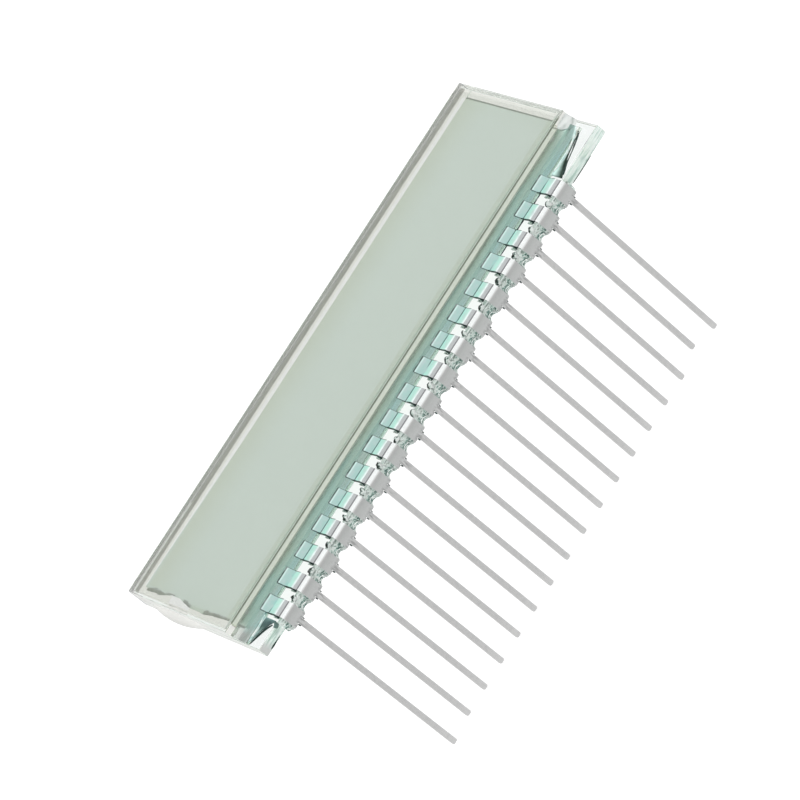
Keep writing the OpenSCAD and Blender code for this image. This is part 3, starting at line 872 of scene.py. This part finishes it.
def strand(mesh, path, radii):
    """Adds a closed tube through the points, with its own radius at each of them."""
    rings = []
    for index, (point, radius) in enumerate(zip(path, radii)):
        ahead = path[min(index + 1, len(path) - 1)] - path[max(index - 1, 0)]
        side = ahead.cross(Vector((0, 0, 1))).normalized()
        rise = side.cross(ahead).normalized()
        turns = [math.tau * step / ROUND for step in range(ROUND)]
        rings.append([mesh.verts.new(point + radius * (math.cos(t) * side + math.sin(t) * rise))
                      for t in turns])
    for first, second in zip(rings, rings[1:]):
        for step in range(ROUND):
            after = (step + 1) % ROUND
            mesh.faces.new((first[step], first[after], second[after], second[step]))
    mesh.faces.new(list(reversed(rings[0])))
    mesh.faces.new(rings[-1])


def drop(mesh, centre, half_sizes, seed, roughness=0.25):
    """Adds an uneven drop: an ellipsoid that swells and dips, the same one each run.

    Only the order in which Blender lists a sphere's faces changes from run to run.
    """
    made = bmesh.ops.create_uvsphere(mesh, u_segments=16, v_segments=10, radius=1.0)
    for vertex in made["verts"]:
        swell = 1.0 + roughness * field.noise(vertex.co * 1.3 + Vector((seed * 7.3, 0, 0)))
        vertex.co = centre + vertex.co * (Vector(half_sizes) * swell)


def steps_between(start, end, count):
    return [start + (end - start) * step / count for step in range(count + 1)]


def uneven(points, radius, amount, per_mm):
    """The radius at each point, made uneven by noise with so many cells to the millimetre."""
    return [radius * (1 + amount * field.noise(p / MM * per_mm)) for p in points]


def add_piece(name, mesh, material):
    bmesh.ops.recalc_face_normals(mesh, faces=mesh.faces)
    for face in mesh.faces:
        face.smooth = True
    data = bpy.data.meshes.new(name)
    mesh.to_mesh(data)
    mesh.free()
    data.materials.append(material)
    piece = bpy.data.objects.new(name, data)
    bpy.context.scene.collection.objects.link(piece)
    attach(piece, BODY)
    return piece


def finger_height(y):
    """Top of an upper finger, which slopes down to its crease and up again to its tip."""
    slope = 0.19 if y > CREASE_Y else -0.185
    return LEDGE_Z + STRIP + slope * (y - CREASE_Y)


def side_line(centre, side, number):
    """Points and radii of the line along a finger's left (-1) or right (1) side."""
    start, thick = (0.95 * MM, 1.0) if side < 0 else (1.25 * MM, 0.5)
    ys = steps_between(start, LINE_END_Y, FINGER_STEPS)
    edge = centre + side * (CLIP_HALF + 0.02 * MM)
    path = [Vector((edge, y, min(finger_height(y), CREST_Z) - 0.03 * MM)) for y in ys]
    radii = [SIDE_LINE_RADIUS * thick * (1.2 if y < 2.3 * MM else 0.62)
             * (1.0 + 0.5 * field.noise(Vector((number * 3.1, y / MM * 1.7, side)))) for y in ys]
    radii[-1] = 0.01 * MM
    if side < 0:
        path.insert(0, Vector((edge - 0.02 * MM, 0.8 * MM, LEDGE_Z + 0.22 * MM)))
        radii.insert(0, 0.06 * MM)
    return path, radii


def add_finger_lines(resin):
    """Lines of resin along the fingers' sides and tips, with a drop at the foot, painted near
    black as shade.
    """
    mesh = bmesh.new()
    for number, centre in enumerate(PIN_CENTRES):
        left, right = centre - CLIP_HALF, centre + CLIP_HALF
        for side in (-1, 1):
            strand(mesh, *side_line(centre, side, number))
        drop(mesh, Vector((left - 0.05 * MM, 0.78 * MM, LEDGE_Z + 0.20 * MM)),
             (0.085 * MM, 0.10 * MM, 0.12 * MM), number)
        if centre > ROW_MIDDLE_X + 15 * MM:
            lip = [Vector((x, BEAD_LIP_Y - 0.04 * MM, LEDGE_Z + 0.03 * MM))
                   for x in steps_between(left, right - PITCH, EDGE_STEPS)]
            strand(mesh, lip, uneven(lip, 0.05 * MM, 0.8, 1.3))
        tip = [Vector((x, LINE_END_Y, finger_height(3.2 * MM) - 0.04 * MM))
               for x in steps_between(left, right, EDGE_STEPS)]
        strand(mesh, tip, uneven(tip, 0.035 * MM, 0.6, 1.9))
    add_piece("finger_resin_lines", mesh, resin)


def add_slit_shade_drops(resin):
    """Dark drops in the slits on both sides of each lead, at the web's foot: painted shade."""
    mesh = bmesh.new()
    for number, centre in enumerate(PIN_CENTRES):
        for away, rise, size in ((-0.33, -0.03, 1.0), (0.32, 0.03, 0.8)):
            spot = Vector((centre + away * MM, -0.08 * MM, LEDGE_LOW.z - 0.20 * MM + rise * MM))
            drop(mesh, spot, (0.06 * MM * size, 0.09 * MM * size, 0.15 * MM * size), number)
    add_piece("slit_resin_drops", mesh, resin)


def add_gap_droplets():
    """One lens of resin in each gap between two webs, on the rear plate's edge."""
    mesh = bmesh.new()
    for number, centre in enumerate(PIN_CENTRES):
        shift = 0.10 * field.noise(Vector((number * 5.7, 2.0, 0.0)))
        middle = Vector((centre - PITCH / 2 + (shift - 0.03) * MM, LEDGE_LOW.y - 0.06 * MM,
                         LEDGE_Z - 0.08 * MM))
        wide = 1.0 + 0.5 * field.noise(Vector((number * 2.9, 8.0, 4.0)))
        high = 1.0 + 0.5 * field.noise(Vector((number * 4.3, 1.0, 9.0)))
        if middle.x > UNDER_LOW.x:
            drop(mesh, middle, (0.27 * MM * wide, 0.14 * MM, 0.29 * MM * high), number, 0.6)
    add_piece("gap_resin_droplets", mesh, droplet_material())


def end_route(route, level):
    """Points and radii of a smooth line at a level, through knots of X, Y and radius."""
    knots = [Vector((x * MM, y * MM, level)) for x, y, radius in route]
    radii = [radius * MM for x, y, radius in route]
    points, sizes = [], []
    for index in range(len(knots) - 1):
        before, after = knots[max(index - 1, 0)], knots[min(index + 2, len(knots) - 1)]
        first, second = knots[index], knots[index + 1]
        for step in range(ROUTE_STEPS):
            t = step / ROUTE_STEPS
            bend = (second - before) * (t - 2 * t * t + t ** 3) / 2
            settle = (after - first) * (t ** 3 - t * t) / 2
            blend = 3 * t * t - 2 * t ** 3
            points.append(first.lerp(second, blend) + bend + settle)
            sizes.append(radii[index] + (radii[index + 1] - radii[index]) * t)
    return points + [knots[-1]], sizes + [radii[-1]]


def add_end_lines(resin):
    """The edge of the resin on the ledge beyond both end clips: painted shade under a painted
    bright rim.
    """
    dark, pale = bmesh.new(), bmesh.new()
    for route, level in ((RIGHT_DARK_EDGE, LEDGE_Z + 0.03 * MM),
                         (LEFT_DARK_EDGE, LEDGE_Z + 0.03 * MM),
                         (RIGHT_FOOT, LEDGE_LOW.z + 0.01 * MM),
                         (LEFT_FOOT, LEDGE_LOW.z + 0.14 * MM)):
        strand(dark, *end_route(route, level))
    drop(dark, LEFT_DRIP, (0.26 * MM, 0.06 * MM, 0.22 * MM), 3, 0.5)
    for route in RIGHT_RIM, LEFT_RIM:
        strand(pale, *end_route(route, LEDGE_Z + 0.16 * MM))
    add_piece("end_resin_edges", dark, resin)
    add_piece("end_resin_rims", pale, rim_material())


def add_glass_chip():
    """A splinter of glass left on the ledge beside the front plate's right corner."""
    mesh = bmesh.new()
    right = RIGHT_X - 0.05 * MM
    left = RIGHT_X - 1.5 * MM
    against = FRONT_Y - 0.02 * MM
    corners = [(left, against, 0.02), (right, against, 0.02),
               (right, FRONT_Y - 0.95 * MM, 0.02), (left + 0.55 * MM, FRONT_Y - 1.1 * MM, 0.02),
               (left, against, 0.80), (right, against, 0.86),
               (right - 0.1 * MM, FRONT_Y - 0.55 * MM, 0.52),
               (left + 0.35 * MM, FRONT_Y - 0.6 * MM, 0.62),
               (left + 0.12 * MM, FRONT_Y - 0.45 * MM, 0.66)]
    for x, y, height in corners:
        mesh.verts.new((x, y, LEDGE_Z + height * MM))
    bmesh.ops.convex_hull(mesh, input=mesh.verts)
    bmesh.ops.bevel(mesh, geom=list(mesh.edges), offset=0.04 * MM, segments=2, affect="EDGES")
    chip = add_piece("corner_glass_chip", mesh, chip_material())
    for face in chip.data.polygons:
        face.use_smooth = False


# ---- the scene ------------------------------------------------------------------------------
def dress(name, material):
    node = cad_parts[name]
    node.data.materials.clear()
    node.data.materials.append(material)


make_camera()
make_world()
make_floor()
make_lamp("key_lamp", (-150, -250, 400), 200, 0.6)
make_lamp("fill_lamp", (250, 150, 350), 250, 0.4)

dress("front_glass", front_glass_material())
dress("rear_glass", rear_glass_material())
dress("front_polarizer", front_film_material())
dress("rear_polarizer", rear_film_material())
dress("reflector", plain_material("reflector_foil", (0.80, 0.83, 0.82), roughness=0.6))
dress("liquid_crystal", clear_material("liquid_crystal", WHITE))
dress("perimeter_seal", clear_material("seal_epoxy", (0.97, 0.97, 0.95)))
dress("transfer_dots", plain_material("silver_epoxy", (0.6, 0.6, 0.6), roughness=0.6))
dress("fill_port_plug", plain_material("plug_epoxy", (0.86, 0.86, 0.83), roughness=0.2,
                                       clear=0.15))
dress("upper_resin_bead", upper_bead_material())
dress("lower_resin_bead", lower_bead_material())
tin = tin_material()
for pin in PINS:
    dress(pin, tin)

shaded_resin = shaded_resin_material()
add_finger_lines(shaded_resin)
add_slit_shade_drops(shaded_resin)
add_gap_droplets()
add_end_lines(shaded_resin)
add_glass_chip()

scene = bpy.context.scene
scene.view_settings.view_transform = "Standard"
scene.cycles.transparent_max_bounces = 48
scene.cycles.transmission_bounces = 24
scene.cycles.glossy_bounces = 16
scene.cycles.max_bounces = 32
